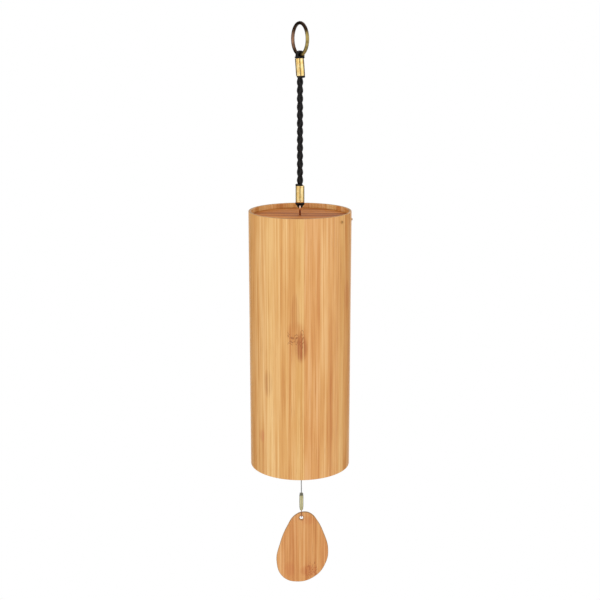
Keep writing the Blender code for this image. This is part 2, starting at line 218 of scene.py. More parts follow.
def finish_mesh(name, shape, recalculate=True, sharp=40):
    """The mesh of a bmesh, shaded smooth except at its sharp edges."""
    if recalculate:
        bmesh.ops.recalc_face_normals(shape, faces=shape.faces)
    mesh = bpy.data.meshes.new(name)
    shape.to_mesh(mesh)
    shape.free()
    mesh.shade_smooth()
    mesh.set_sharp_from_angle(angle=math.radians(sharp))
    return mesh


def eased(profile, radius, closed=False):
    """A profile with its corners rounded. Points on the axis stay."""
    points = [Vector(point) for point in profile]
    made = []
    for i, corner in enumerate(points):
        if not closed and i in (0, len(points) - 1):
            made.append(corner)
            continue
        before, after = points[i - 1] - corner, points[(i + 1) % len(points)] - corner
        reach = min(radius, before.length * 0.45, after.length * 0.45)
        start, end = corner + before.normalized() * reach, corner + after.normalized() * reach
        for step in range(EASE_STEPS + 1):
            t = step / EASE_STEPS
            made.append(start * (1 - t) ** 2 + corner * 2 * t * (1 - t) + end * t**2)
    return made


def lathe(profile, sides, closed=False, name="turned"):
    """The mesh that a profile of (radius, height) makes when it turns about Z."""
    shape = bmesh.new()
    rings = []
    for radius, height in profile:
        angles = steps_round(sides if radius > ON_AXIS else 1)
        rings.append([shape.verts.new((radius * math.cos(a), radius * math.sin(a), height)) for a in angles])
    pairs = list(zip(rings, rings[1:]))
    if closed:
        pairs.append((rings[-1], rings[0]))
    for upper, lower in pairs:
        for i in range(sides):
            places = ((upper, i), (upper, i + 1), (lower, i + 1), (lower, i))
            corners = dict.fromkeys(ring[turn % len(ring)] for ring, turn in places)
            if len(corners) > 2:
                shape.faces.new(list(corners))
    return finish_mesh(name, shape)


def sweep(shape, points, radius, sides=10, closed=False):
    """Add a round strand along points to a bmesh. Its UV is the way round, and the way along in metres."""
    uv = shape.loops.layers.uv.verify()
    count = len(points)
    radii = radius if isinstance(radius, (list, tuple)) else [radius] * count
    rings, travelled, along = [], [], 0.0
    side = None
    for i, point in enumerate(points):
        if closed:
            tangent = points[(i + 1) % count] - points[i - 1]
        else:
            tangent = points[min(i + 1, count - 1)] - points[max(i - 1, 0)]
        tangent.normalize()
        if side is None:
            side = tangent.orthogonal()
        side = (side - tangent * side.dot(tangent)).normalized()
        other = tangent.cross(side)
        rings.append([shape.verts.new(point + (side * math.cos(a) + other * math.sin(a)) * radii[i])
                      for a in steps_round(sides)])  # fmt: skip
        travelled.append(along)
        along += (points[(i + 1) % count] - point).length
    travelled.append(along)
    for i in range(count if closed else count - 1):
        a, b = rings[i], rings[(i + 1) % count]
        shift = best_shift(a, b) if closed and i == count - 1 else 0
        for k in range(sides):
            n = (k + 1) % sides
            face = shape.faces.new((a[k], a[n], b[(n + shift) % sides], b[(k + shift) % sides]))
            places = ((k, i), (k + 1, i), (k + 1, i + 1), (k, i + 1))
            for loop, (turn, step) in zip(face.loops, places):
                loop[uv].uv = (turn / sides, travelled[step])
    if not closed:
        shape.faces.new(list(reversed(rings[0])))
        shape.faces.new(rings[-1])


def best_shift(a, b):
    """How far ring b is turned from ring a, where a closed strand meets itself."""
    return min(range(len(b)), key=lambda shift: (a[0].co - b[shift].co).length)


def smooth_route(route, per_stretch=6):
    """Points along a smooth curve through the route's own points."""
    route = [Vector(point) for point in route]
    ends = [2 * route[0] - route[1], *route, 2 * route[-1] - route[-2]]
    points = []
    for a, b, c, d in zip(ends, ends[1:], ends[2:], ends[3:]):
        for i in range(per_stretch):
            t = i / per_stretch
            points.append(0.5 * (2 * b + (c - a) * t + (2 * a - 5 * b + 4 * c - d) * t**2
                                 + (3 * b - a - 3 * c + d) * t**3))  # fmt: skip
    return [*points, route[-1]]


def show(name, mesh, look, node):
    """Put a mesh in the scene in place of a CAD node. It rides on the node's body."""
    obj = bpy.data.objects.new(name, mesh)
    bpy.context.scene.collection.objects.link(obj)
    mesh.materials.clear()
    mesh.materials.append(look)
    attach(obj, body_of(node))
    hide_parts(node)
    return obj


def show_strand(name, points, radius, sides, look, node, closed=False):
    """One round strand in place of a node."""
    shape = bmesh.new()
    sweep(shape, points, radius, sides, closed)
    show(name, finish_mesh(name, shape), look, node)


def show_thread(name, route, look, node):
    """A thread in place of a node. Its strands wind round each other along a straight or bent route."""
    line, lengths = [route[0]], [0.0]
    for a, b in zip(route, route[1:]):
        pieces = max(1, round((b - a).length / THREAD_STEP))
        for i in range(1, pieces + 1):
            line.append(a.lerp(b, i / pieces))
            lengths.append(lengths[-1] + (b - a).length / pieces)
    shape = bmesh.new()
    for number in range(THREAD_STRANDS):
        points = []
        for i, point in enumerate(line):
            tangent = (line[min(i + 1, len(line) - 1)] - line[max(i - 1, 0)]).normalized()
            side = (Vector((1, 0, 0)) - tangent * tangent.x).normalized()
            other = tangent.cross(side)
            angle = 2 * math.pi * (lengths[i] / THREAD_PITCH + number / THREAD_STRANDS)
            out = side * math.cos(angle) + other * math.sin(angle)
            points.append(point + out * (THREAD_R - THREAD_STRAND_R))
        sweep(shape, points, THREAD_STRAND_R, 6)
    return show(name, finish_mesh(name, shape), look, node)


def turned(name, profile, look, node, sides=48, closed=False, ease=0.0, place=None):
    """A turned piece in place of a node, with heights from the node's top and its corners eased."""
    if ease:
        profile = eased(profile, ease, closed)
    mesh = lathe(profile, sides, closed, name)
    mesh.transform(Matrix.Translation(place or Vector((centre(node).x, centre(node).y, top(node)))))
    show(name, mesh, look, node)


def drilled(name, look, node, bore, sides, ease):
    """A turned disc with a hole through its middle, in place of a node."""
    radius, thick = half_width(node), top(node) - low(node)
    profile = [(radius, 0), (radius, -thick), (bore, -thick), (bore, 0)]
    turned(name, profile, look, node, sides, closed=True, ease=ease)


# ------------------------------------------------------------------ materials


class Look:
    """A node material, with a short call for each kind of node that the looks use."""

    def __init__(self, name, roughness=0.5, metallic=0.0, **settings):
        self.material = bpy.data.materials.new(name)
        self.material.use_nodes = True
        self.nodes = self.material.node_tree.nodes
        self.links = self.material.node_tree.links
        self.shader = self.nodes["Principled BSDF"]
        self.shader.inputs["Metallic"].default_value = metallic
        self.set("Roughness", roughness)
        for socket, value in settings.items():
            self.shader.inputs[socket.replace("_", " ").title().replace("Ior", "IOR")].default_value = value

    def put(self, value, socket):
        """Link a socket, or set a plain value."""
        if isinstance(value, bpy.types.NodeSocket):
            self.links.new(value, socket)
        else:
            socket.default_value = value

    def set(self, name, value):
        self.put(value, self.shader.inputs[name])

    def place(self):
        """Where a point is in the frame, as a vector and as its three parts."""
        vector = self.nodes.new("ShaderNodeTexCoord").outputs["Object"]
        split = self.nodes.new("ShaderNodeSeparateXYZ")
        self.put(vector, split.inputs[0])
        return vector, *split.outputs

    def uv(self):
        """The way round a strand, from 0 to 1, and the way along it in metres."""
        split = self.nodes.new("ShaderNodeSeparateXYZ")
        self.put(self.nodes.new("ShaderNodeTexCoord").outputs["UV"], split.inputs[0])
        return split.outputs[0], split.outputs[1]

    def attribute(self, name):
        node = self.nodes.new("ShaderNodeAttribute")
        node.attribute_name = name
        return node.outputs["Fac"]

    def vector(self, *parts):
        join = self.nodes.new("ShaderNodeCombineXYZ")
        for value, socket in zip(parts, join.inputs):
            self.put(value, socket)
        return join.outputs[0]

    def sum(self, operation, *values):
        """One step of arithmetic on sockets and plain values."""
        node = self.nodes.new("ShaderNodeMath")
        node.operation = operation
        for value, socket in zip(values, node.inputs):
            self.put(value, socket)
        return node.outputs[0]

    def times(self, a, b):
        return self.sum("MULTIPLY", a, b)

    def span(self, value, start, end, new_start=0.0, new_end=1.0, smooth=True):
        """Value moved from one range to another and kept inside it."""
        node = self.nodes.new("ShaderNodeMapRange")
        node.interpolation_type = "SMOOTHSTEP" if smooth else "LINEAR"
        for item, socket in zip((value, start, end, new_start, new_end), node.inputs):
            self.put(item, socket)
        return node.outputs[0]

    def noise(self, vector, scale=1.0, detail=2.0, rough=0.5):
        node = self.nodes.new("ShaderNodeTexNoise")
        self.put(vector, node.inputs["Vector"])
        node.inputs["Scale"].default_value = scale
        node.inputs["Detail"].default_value = detail
        node.inputs["Roughness"].default_value = rough
        return node.outputs["Fac"]

    def stretched(self, parts, scales, detail=2.0, rough=0.5):
        """Noise whose grain has its own scale along X, Y and Z."""
        moved = self.vector(*(self.times(part, scale) for part, scale in zip(parts, scales)))
        return self.noise(moved, 1.0, detail, rough)

    def mix(self, factor, a, b, blend="MIX"):
        node = self.nodes.new("ShaderNodeMix")
        node.data_type = "RGBA"
        node.blend_type = blend
        for value, socket in zip((factor, a, b), (node.inputs[0], node.inputs[6], node.inputs[7])):
            self.put(colour(value) if isinstance(value, str) else value, socket)
        return node.outputs[2]

    def ramp(self, factor, *stops):
        node = self.nodes.new("ShaderNodeValToRGB")
        self.put(factor, node.inputs[0])
        elements = node.color_ramp.elements
        while len(elements) < len(stops):
            elements.new(1.0)
        for element, (position, shade) in zip(elements, stops):
            element.position = position
            element.color = colour(shade)
        return node.outputs[0]

    def bump(self, height, distance, strength=1.0):
        node = self.nodes.new("ShaderNodeBump")
        node.inputs["Strength"].default_value = strength
        node.inputs["Distance"].default_value = distance
        self.put(height, node.inputs["Height"])
        self.put(node.outputs[0], self.shader.inputs["Normal"])


def blotch(look, parts, place, reach):
    """1 in the middle of an oval on the front, and 0 outside it. place and reach are x and z."""
    x, y, z = parts
    far = [look.sum("DIVIDE", look.sum("SUBTRACT", value, middle), size)
           for value, middle, size in zip((x, z), place, reach)]  # fmt: skip
    away = look.sum("ADD", *(look.times(part, part) for part in far))
    return look.times(look.span(away, 0.1, 1.0, 1.0, 0.0), look.span(y, -0.001, 0.001, 1.0, 0.0))


def bamboo(name, yellows, pinks, dark, stains):
    """Strips of bamboo under a satin lacquer. The mesh says how dark and warm each strip is, and where its
    growth ring is. Stains are the marks of one place each: (shade, strength, place, reach)."""
    look = Look(name, coat_weight=0.25, coat_roughness=0.25)
    _, x, y, z = look.place()
    tone, warmth, ring, shift = (look.attribute(word) for word in ("tone", "warmth", "ring", "shift"))
    parts = (look.sum("ADD", x, shift), look.sum("ADD", y, shift), z)
    hair = look.stretched(parts, (3000, 3000, 30), 2, 0.6)
    fibre = look.stretched(parts, (1150, 1150, 11), 2, 0.6)
    streak = look.stretched(parts, (430, 430, 9), 2, 0.5)
    drift = look.stretched(parts, (120, 120, 22), 2, 0.5)
    level = tone
    for grain, weight in ((drift, 0.14), (streak, 0.15), (fibre, 0.30), (hair, 0.18)):
        level = look.sum("ADD", level, look.span(grain, 0.3, 0.7, -weight, weight, False))
    yellow = look.ramp(level, (0.0, yellows[0]), (0.5, yellows[1]), (1.0, yellows[2]))
    pink = look.ramp(level, (0.0, pinks[0]), (0.5, pinks[1]), (1.0, pinks[2]))
    wood = look.mix(warmth, yellow, pink)

    # The growth ring: wavy dark lines across the strip, with stained fibres above and below them
    wave = look.stretched(parts, (330, 330, 120), 2, 0.6)
    height = look.sum("SUBTRACT", z, ring)
    bent = look.sum("ADD", height, look.span(wave, 0.25, 0.75, -0.0050, 0.0050, False))
    ripples = look.sum("ABSOLUTE", look.sum("SINE", look.times(bent, 950)))
    near = look.span(look.sum("ABSOLUTE", bent), 0.0030, 0.0050, 1.0, 0.0)
    ragged = look.span(look.stretched(parts, (800, 800, 260), 2, 0.6), 0.34, 0.48)
    line = look.times(look.times(look.span(ripples, 0.25, 0.70, 1.0, 0.0), near), ragged)
    below = look.span(height, -0.024, 0.0, 0.0, 1.0)
    above = look.span(height, 0.0, 0.018, 1.0, 0.0)
    stain = look.times(look.times(below, above), look.span(fibre, 0.38, 0.60))
    wood = look.mix(look.times(stain, 0.45), wood, "#BF702C")
    wood = look.mix(look.times(line, 0.85), wood, dark)
    for shade, strength, place, reach in stains:
        mask = look.times(blotch(look, (x, y, z), place, reach), look.span(fibre, 0.34, 0.56, 0.15, 1.0))
        wood = look.mix(look.times(mask, strength), wood, shade)

    # Short thin pores along the fibres, a little darker than the wood
    pore = look.span(look.stretched(parts, (2600, 2600, 80), 1, 0.5), 0.64, 0.78)
    wood = look.mix(look.times(pore, 0.35), wood, "#A4622A")
    look.set("Base Color", wood)
    look.set("Roughness", look.span(fibre, 0.2, 0.8, 0.38, 0.50, False))
    look.bump(look.sum("ADD", fibre, look.times(line, -0.8)), 0.00005)
    return look.material


def end_grain(name):
    """The cut edges of the bamboo, where the fibres show as dots."""
    look = Look(name, roughness=0.6)
    vector = look.place()[0]
    dots = look.span(look.noise(vector, 3200, 1), 0.5, 0.68)
    cloud = look.noise(vector, 240, 2)
    look.set("Base Color", look.mix(dots, look.ramp(cloud, (0.3, "#C4935A"), (0.7, "#AA7C46")), "#8A6434"))
    look.bump(dots, 0.00005)
    return look.material


def ply(name):
    """The disc's face veneer, with its grain from left to right."""
    look = Look(name, specular_ior_level=0.12)
    _, x, y, z = look.place()
    band = look.stretched((x, y, z), (10, 190, 190), 2, 0.5)
    grain = look.stretched((x, y, z), (16, 560, 560), 3, 0.6)
    fibre = look.stretched((x, y, z), (60, 2800, 2800), 2, 0.6)
    level = look.span(band, 0.32, 0.68, 0.0, 0.75, False)
    level = look.sum("ADD", level, look.span(grain, 0.3, 0.7, -0.15, 0.40, False))
    level = look.sum("ADD", level, look.span(fibre, 0.3, 0.7, -0.10, 0.10, False))
    wood = look.ramp(level, (0.0, "#C88238"), (0.4, "#B06620"), (0.75, "#8C4812"), (1.0, "#562405"))
    look.set("Base Color", wood)
    look.set("Roughness", look.span(fibre, 0.2, 0.8, 0.55, 0.7, False))
    look.bump(fibre, 0.00004)
    return look.material


def metal(name, shades, roughness, tarnish, grain=(400, 400, 400), scratch=(60, 60, 3000), marks=0.00002):
    """A metal that drifts between its first two shades, with fine scratches and spots of the third shade."""
    look = Look(name, metallic=1.0)
    _, *parts = look.place()
    drift = look.stretched(parts, grain, 2, 0.55)
    lines = look.stretched(parts, scratch, 2, 0.6)
    tint = look.mix(look.span(drift, 0.35, 0.65), shades[0], shades[1])
    spots = look.span(look.stretched(parts, [g * 2.6 for g in grain], 3, 0.65), 0.5, 0.68)
    look.set("Base Color", look.mix(look.times(spots, tarnish), tint, shades[2]))
    look.set("Roughness", look.span(lines, 0.3, 0.7, roughness * 0.75, roughness * 1.3, False))
    look.bump(lines, marks, 0.6)
    return look.material


def bronze(name):
    """Antique bronze with a painted reflection: almost black at its top and foot, and lighter gold down its
    sides, brightest on the right as a painted highlight.
    """
    look = Look(name, metallic=1.0)
    vector, x, _, z = look.place()
    cloud = look.noise(vector, 260, 3, 0.6)
    ring_low, ring_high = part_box("hanging_ring")
    # Painted reflection: this mask is 0 at the ring's top and at the left of its foot, where it is painted
    # almost black, and 1 down its sides, where it is painted gold
    middle = look.span(z, ring_high.z - 0.0045, ring_high.z - 0.0085, 0.0, 1.0)
    foot = look.span(z, ring_low.z + 0.0035, ring_low.z + 0.0065, 0.0, 1.0)
    foot = look.sum("MAXIMUM", foot, look.times(look.span(x, -0.0005, 0.0015), 0.75))
    painted_reflection_mask = look.times(look.times(middle, foot), look.span(cloud, 0.3, 0.6, 0.55, 1.0))
    # Painted highlight: the gold grows lighter towards the right
    highlight_gold = look.mix(look.span(x, -0.002, 0.002), "#9A755E", "#B8A262")
    look.set("Base Color", look.mix(painted_reflection_mask, look.ramp(cloud, (0.35, "#2E2018"), (0.7, "#4A3424")), highlight_gold))
    look.set("Roughness", look.span(cloud, 0.3, 0.7, 0.26, 0.42, False))
    look.bump(look.noise(vector, 1500, 3), 0.00002, 0.7)
    return look.material


def olive_brass(name):
    """Satin olive brass, with a dark cap where it was crimped on the thread."""
    look = Look(name, metallic=1.0)
    vector, x, y, z = look.place()
    cloud = look.stretched((x, y, z), (900, 900, 220), 3, 0.6)
    cap = look.span(z, top("sail_crimp") - 0.0016, top("sail_crimp") - 0.0012)
    body = look.ramp(cloud, (0.35, "#DED6AA"), (0.7, "#B8B080"))
    look.set("Base Color", look.mix(cap, body, look.ramp(cloud, (0.35, "#8A8A78"), (0.7, "#626256"))))
    look.set("Roughness", look.span(cloud, 0.3, 0.7, 0.28, 0.42, False))
    look.bump(look.noise(vector, 1800, 3), 0.000015, 0.7)
    return look.material


def eye_wire(name):
    """Coppery wire with a painted highlight, pinkish white, near the top of the eye, and painted shade,
    red-brown, down the shank.
    """
    look = Look(name, metallic=1.0)
    vector, _, _, z = look.place()
    cloud = look.noise(vector, 700, 3, 0.6)
    # Painted highlight on the top of the eye. Below it, the wire and shank are painted red-brown as shade
    painted_highlight = look.span(z, top("top_eye") - 0.0050, top("top_eye") - 0.0030, 0.0, 1.0)
    shaded_copper = look.ramp(cloud, (0.35, "#6E2E18"), (0.7, "#9A4A26"))
    look.set("Base Color", look.mix(painted_highlight, shaded_copper, look.ramp(cloud, (0.35, "#F4D2C0"), (0.7, "#E8B298"))))
    look.set("Roughness", look.span(cloud, 0.3, 0.7, 0.18, 0.32, False))
    look.bump(cloud, 0.00002, 0.6)
    return look.material


def yarn(name, shades, lay, plies, roughness=0.6, depth=0.00006, specular=0.5):
    """Twisted fibres that run round and along a strand."""
    look = Look(name, roughness=roughness, specular_ior_level=specular)
    around, along = look.uv()
    turn = look.sum("ADD", around, look.sum("DIVIDE", along, lay))
    wave = look.sum("SINE", look.times(turn, 2 * math.pi * plies))
    ridge = look.span(wave, -1.0, 0.6)
    fibres = look.noise(look.vector(look.times(turn, 46.0), look.times(along, 700), 0.0), 1.0, 2)
    level = look.sum("ADD", look.times(ridge, 0.65), look.times(fibres, 0.35))
    look.set("Base Color", look.ramp(level, (0.15, shades[0]), (0.85, shades[1])))
    look.set("Roughness", look.span(fibres, 0.3, 0.7, roughness * 0.8, min(1.0, roughness * 1.15), False))
    look.bump(level, depth)
    return look.material


def felt(name):
    look = Look(name, roughness=0.95, sheen_weight=0.4)
    vector = look.place()[0]
    fuzz = look.noise(vector, 2600, 4, 0.7)
    look.set("Base Color", look.ramp(fuzz, (0.3, "#2F2A27"), (0.7, "#57504A")))
    look.bump(fuzz, 0.00025)
    return look.material


def turned_wood(name):
    look = Look(name, coat_weight=0.15, coat_roughness=0.35)
    _, *parts = look.place()
    grain = look.stretched(parts, (1300, 260, 260), 3, 0.6)
    pores = look.span(look.stretched(parts, (3600, 500, 900), 2, 0.5), 0.62, 0.74)
    shade = look.ramp(grain, (0.3, "#A66F42"), (0.55, "#8A5630"), (0.75, "#69401F"))
    look.set("Base Color", look.mix(look.times(pores, 0.6), shade, "#3E2412"))
    look.set("Roughness", look.span(grain, 0.3, 0.7, 0.42, 0.55, False))
    look.bump(grain, 0.00004)
    return look.material


def turned_steel(name):
    """Steel faced on a lathe: fine rings about Z."""
    look = Look(name, metallic=1.0)
    vector, x, y, z = look.place()
    radius = look.sum("SQRT", look.sum("ADD", look.times(x, x), look.times(y, y)))
    rings = look.noise(look.vector(look.times(radius, 5200), look.times(z, 3000), 0.0), 1.0, 2)
    cloud = look.noise(vector, 90, 2)
    look.set("Base Color", look.mix(cloud, "#9C9D9F", "#C4C5C6"))
    look.set("Roughness", look.span(rings, 0.3, 0.7, 0.22, 0.42, False))
    look.bump(rings, 0.00003)
    return look.material


# ------------------------------------------------------------------ the cord, its loops and ferrules

CORD_STRAND_R = 0.00077
CORD_WIND_R = 0.00098  # of the strands' middles round the cord's axis
CORD_PINCH = 0.00013  # how far the strands close in where they cross
CORD_WEAVE = 0.00028  # how far a strand goes over and under the others
CORD_PITCH = 0.0195
FERRULE_R = 0.0027
FERRULE_BORE_R = 0.0022
FERRULE_LENGTH = 0.0102
FERRULE_LEAN = 4.0
RING_WIRE_R = 0.00105
RING_TURN = -62.0
EYE_WIRE_R = 0.00055


def cord_line():
    """The cord's middle line, from inside one ferrule to inside the other, as the CAD model has it."""
    start, end = top("hanger_cord"), low("hanger_cord")
    return [Vector((0, 0, start + (end - start) * i / 12)) for i in range(13)]


def collar(shape, middle, radius, strand_r):
    """A strand wound once round, where the others squeeze into a ferrule's mouth."""
    points = [middle + Vector((math.cos(a), math.sin(a), 0)) * radius for a in steps_round(48)]
    sweep(shape, points, strand_r, 12, closed=True)


def make_cord(black):
    """A round braid: two strands wind one way and two the other, and they go over and under in turn."""
    line = cord_line()
    start, end = line[0].z, line[-1].z
    mouths = low("top_ferrule"), top("bottom_ferrule")
    shape = bmesh.new()
    steps = 320
    for hand in (1, -1):
        for first in (0, math.pi):
            points = []
            for i in range(steps + 1):
                z = start + (end - start) * i / steps
                turn = 2 * math.pi * (z - start) / CORD_PITCH
                wind = CORD_WIND_R + CORD_PINCH * math.cos(4 * turn) + hand * CORD_WEAVE * math.sin(2 * turn)
                way = turn + first if hand == 1 else math.pi / 2 - turn + first
                points.append(Vector((wind * math.cos(way), wind * math.sin(way), z)))
            sweep(shape, points, CORD_STRAND_R, 12)
    collar(shape, Vector((0.00055, 0, mouths[0] - 0.0003)), 0.00175, 0.00080)
    collar(shape, Vector((-0.00060, 0, mouths[1] + 0.0003)), 0.00150, 0.00075)
    cord = bpy.data.objects.new("braided_cord", finish_mesh("braided_cord", shape))
    bpy.context.scene.collection.objects.link(cord)
    cord.data.materials.append(black)
    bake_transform(cord)
    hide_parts("hanger_cord")


def make_loop(name, node, black, wire, mouth, leg_end, across, strand_r, collar_r):
    """Two strands side by side over a wire, squeezed into a ferrule's mouth. across is the wire's normal."""
    wire_z, wire_r = wire
    way = 1 if wire_z > mouth else -1
    side = wire_r + GAP * 0.5 + strand_r
    crest = wire_z + way * side
    along = across.cross(UP)
    shape = bmesh.new()
    for half in (-strand_r, strand_r):
        # One leg: how far it stands from the middle, its height, and how far apart its strands are
        level = [
            (-0.00092, leg_end, 0.70),
            (-0.00094, mouth - way * 0.0012, 0.74),
            (-0.00130, mouth - way * 0.0001, 0.90),
            (-0.00200, mouth + way * 0.0009, 1.25),
            (-0.00190, (mouth * 0.55 + wire_z * 0.45), 1.15),
            (-side * 1.02, wire_z, 1.0),
            (-side * 0.72, wire_z + (crest - wire_z) * 0.72, 1.0),
        ]
        legs = [across * out + along * half * apart + UP * z for out, z, apart in level]
        legs.append(along * half + UP * crest)
        legs += [across * -out + along * half * apart + UP * z for out, z, apart in reversed(level)]
        sweep(shape, smooth_route(legs, 7), strand_r, 12)
    collar(shape, Vector((-0.0002, 0, mouth + way * 0.0005)), collar_r, 0.0006)
    show(name, finish_mesh(name, shape), black, node)


def make_ferrule(name, node, brass, lean=0.0):
    """A brass sleeve with rolled rims and a groove where each rim was swaged."""
    outer, bore, length = FERRULE_R, FERRULE_BORE_R, FERRULE_LENGTH
    groove, edge, depth = 0.0009, 0.00018, 0.00005
    profile = [
        (outer, 0), (outer, edge - groove), (outer - depth, -groove), (outer, -groove - edge),
        (outer, groove - length + edge), (outer - depth, groove - length), (outer, groove - length - edge),
        (outer, -length), (bore, -length), (bore, 0),
    ]  # fmt: skip
    mesh = lathe(eased(profile, 0.00016, closed=True), 64, closed=True, name=name)
    mesh.transform(Matrix.Translation((0, 0, length / 2)))
    mesh.transform(Matrix.Rotation(math.radians(-lean), 4, "Y"))
    mesh.transform(Matrix.Translation((0, 0, centre(node).z)))
    show(name, mesh, brass, node)


def make_hanger(black, brass):
    make_cord(black)
    turn = math.radians(RING_TURN)
    across = Vector((-math.sin(turn), math.cos(turn), 0))
    ring_wire = low("hanging_ring") + RING_WIRE_R, RING_WIRE_R
    eye_wire = top("top_eye") - EYE_WIRE_R, EYE_WIRE_R
    mouth = centre("top_ferrule").z + FERRULE_LENGTH / 2
    make_loop("ring_loop", "top_loop", black, ring_wire, mouth, low("top_loop") + 0.0001, across,
              0.00068, 0.00240)  # fmt: skip
    make_ferrule("upper_ferrule", "top_ferrule", brass, FERRULE_LEAN)
    make_ferrule("lower_ferrule", "bottom_ferrule", brass)
    make_loop("eye_loop", "bottom_loop", black, eye_wire, low("bottom_ferrule"), top("bottom_loop"),
              Vector((1, 0, 0)), 0.00074, 0.00215)  # fmt: skip


def make_ring(look):
    lowest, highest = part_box("hanging_ring")
    major = (highest.z - lowest.z) / 2 - RING_WIRE_R
    turn = math.radians(RING_TURN)
    flat = Vector((math.cos(turn), math.sin(turn), 0))
    middle = centre("hanging_ring")
    points = [middle + (flat * math.cos(a) + UP * math.sin(a)) * major for a in steps_round(128)]
    show_strand("ring", points, RING_WIRE_R, 20, look, "hanging_ring", closed=True)


# ------------------------------------------------------------------ the tube and the disc in its top

STRIPS = 40  # round the tube
STRIP_FACES = 6
STRIP_SEED = 11
TUBE_EASE = 0.00035
TUBE_WALL = 0.0016
BORE_R = 0.0009  # of the disc, the felt, the plate and the nut
NAIL_LENGTH = 0.0085
NAIL_SHANK_R = 0.0006
NAIL_POINT = 0.001
# The strips that face forward, from left to right: how dark, how warm, and the height of a growth ring
# above the tube's foot, as a share of its length
FRONT_STRIPS = (
    (0.45, 0.50, None), (0.48, 0.40, None), (0.44, 0.45, None), (0.54, 0.60, None), (0.46, 0.40, None),
    (0.42, 0.30, None), (0.34, 0.15, None), (0.38, 0.25, None), (0.46, 0.30, None), (0.58, 0.40, 0.551),
    (0.38, 0.20, 0.551), (0.48, 0.80, None), (0.52, 0.75, None), (0.44, 0.50, None), (0.62, 0.60, None),
    (0.54, 0.55, None), (0.40, 0.30, None), (0.56, 0.70, None), (0.52, 0.65, None), (0.42, 0.50, None),
    (0.50, 0.50, None),
)  # fmt: skip


def strip_marks(bottom, length):
    """(tone, warmth, ring, shift) of each strip. Strips that are not listed are drawn at random, and a strip
    with no growth ring has it far below the tube."""
    pick = random.Random(STRIP_SEED)
    marks = []
    for number in range(STRIPS):
        tone, warmth = pick.uniform(0.25, 0.72), pick.uniform(0.15, 0.8)
        share = pick.uniform(0.1, 1.6)
        shift = pick.uniform(0, 1) * 0.05
        place = (number - STRIPS // 2) % STRIPS
        if place < len(FRONT_STRIPS):
            tone, warmth, share = FRONT_STRIPS[place]
        ring = bottom + share * length if share is not None and share < 0.95 else bottom - 1
        marks.append((tone, warmth, ring, shift))
    return marks


def mark_strips(mesh, marks, strip_of):
    """Write each strip's marks on its faces, where the bamboo material reads them."""
    for column, word in enumerate(("tone", "warmth", "ring", "shift")):
        values = [float(marks[strip_of(face.center) % len(marks)][column]) for face in mesh.polygons]
        mesh.attributes.new(word, "FLOAT", "FACE").data.foreach_set("value", values)


def make_tube(skin, edge):
    outer = half_width("tube")
    inner, length = outer - TUBE_WALL, top("tube") - low("tube")
    profile = [(outer, 0), (outer, -length), (inner, -length), (inner, 0)]
    mesh = lathe(eased(profile, TUBE_EASE, closed=True), STRIPS * STRIP_FACES, True, "bamboo_tube")
    # Turned by half a strip, so that one strip faces straight forward
    mesh.transform(Matrix.Rotation(math.radians(180 / STRIPS), 4, "Z"))
    mesh.transform(Matrix.Translation((0, 0, top("tube"))))
    turn = 2 * math.pi / STRIPS

    def strip_of(point):
        return math.floor((math.atan2(point.y, point.x) % (2 * math.pi)) / turn + 0.5)

    mark_strips(mesh, strip_marks(low("tube"), length), strip_of)
    show("bamboo_tube", mesh, skin, "tube")
    mesh.materials.append(edge)
    for face in mesh.polygons:
        face.material_index = int(abs(face.normal.z) > 0.7)


def make_nails(brass):
    """Domed nail heads with a short rim. Each lies along its own hole."""
    for number in range(1, 5):
        node = f"disc_nail_{number}"
        middle = centre(node)
        out = Vector((middle.x, middle.y, 0)).normalized()
        head_r = (top(node) - low(node)) / 2
        dome = [(head_r * math.sin(a), head_r * 0.55 * math.cos(a))
                for a in (math.radians(step) for step in range(0, 81, 10))]  # fmt: skip
        profile = [*dome, (head_r, 0.00005), (head_r * 0.97, 0), (NAIL_SHANK_R, 0),
                   (NAIL_SHANK_R, NAIL_POINT - NAIL_LENGTH), (0, -NAIL_LENGTH)]  # fmt: skip
        mesh = lathe(profile, 32, name=f"nail_{number}")
        place = out * (half_width("tube") + GAP) + UP * middle.z
        mesh.transform(Matrix.Translation(place) @ out.to_track_quat("Z", "Y").to_matrix().to_4x4())
        show(f"nail_{number}", mesh, brass, node)


# ------------------------------------------------------------------ what hangs from the disc

NUT_FLATS_R = 0.0025
SOLDER_BORE_R = 0.0018
KNOT_THREAD_R = 0.00036
CLAPPER_BORE_R = 0.00075  # and of its beads


def make_eye(name, node, look, shank_end):
    """A closed wire eye. Its shank has a screw thread."""
    wire_r = EYE_WIRE_R
    middle = centre(node)
    ring_r = half_width(node) - wire_r
    ring_z = top(node) - half_width(node) if shank_end < middle.z else low(node) + half_width(node)
    points = [Vector((0, ring_r * math.cos(a), ring_z + ring_r * math.sin(a))) for a in steps_round(64)]
    shape = bmesh.new()
    sweep(shape, points, wire_r, 16, closed=True)
    way = -1 if shank_end < ring_z else 1
    start = ring_z + way * ring_r
    steps = round(abs(shank_end - start) / 0.00005)
    line = [Vector((0, 0, start + (shank_end - start) * i / steps)) for i in range(steps + 1)]
    radii = [wire_r * (1 - 0.05 * (1 + math.sin(2 * math.pi * i / 7))) for i in range(steps + 1)]
    sweep(shape, line, radii, 16)
    show(name, finish_mesh(name, shape), look, node)


